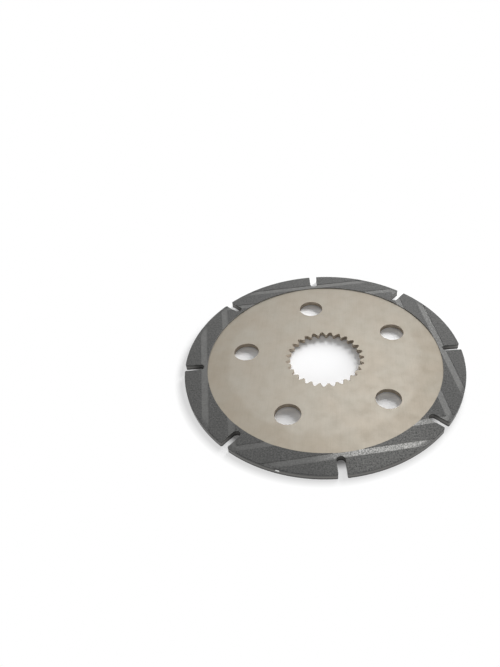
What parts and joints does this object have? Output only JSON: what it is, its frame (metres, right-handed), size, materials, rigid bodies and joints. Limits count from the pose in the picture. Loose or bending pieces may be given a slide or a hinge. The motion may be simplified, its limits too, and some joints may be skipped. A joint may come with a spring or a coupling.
{
  "type": "wet brake disc",
  "caption": "Flat steel wet brake disc with an internal spline, round oil holes, slots in from the rim and a grooved friction ring bonded to each face.",
  "frame": {"origin": "the disc's centre, halfway through its thickness", "axes": "+Z along the disc's axis, out of its front face; +X and +Y as the picture shows it, with +Y away from the camera"},
  "size_m": [0.224, 0.224, 0.0052],
  "materials": {
    "core_steel": "satin, tan grey",
    "friction_facing": "matt, finely speckled"
  },
  "bodies": {
    "root": {"core_plate": "core_steel", "front_friction_facing": "friction_facing", "rear_friction_facing": "friction_facing"}
  },
  "joints": []
}
